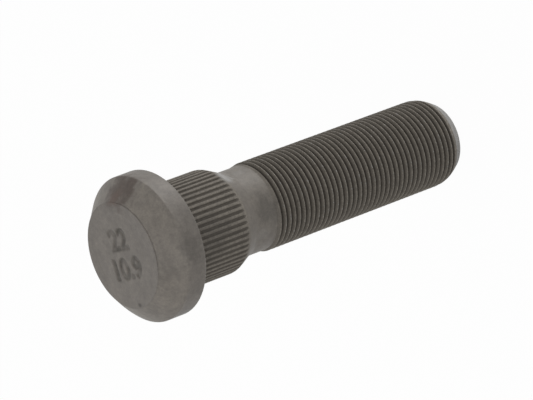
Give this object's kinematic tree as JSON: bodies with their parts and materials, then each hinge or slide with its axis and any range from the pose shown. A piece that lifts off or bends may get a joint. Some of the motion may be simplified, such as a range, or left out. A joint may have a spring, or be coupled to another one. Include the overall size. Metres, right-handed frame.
{
  "type": "wheel bolt",
  "caption": "Press-in wheel bolt with a bevelled round head, a straight-knurled collar, a plain neck and a long fine thread for a wheel nut.",
  "frame": {"origin": "centre of the flat face at the threaded end, on which the bolt stands", "axes": "+Z along the bolt's axis from the threaded end to the head; X and Y are alike, with a knurl groove centred on +X"},
  "size_m": [0.0358, 0.0358, 0.0996],
  "materials": {
    "phosphated_steel": "matte dark grey phosphate over forged and rolled steel"
  },
  "bodies": {
    "root": {"wheel_bolt": "phosphated_steel"}
  },
  "joints": []
}
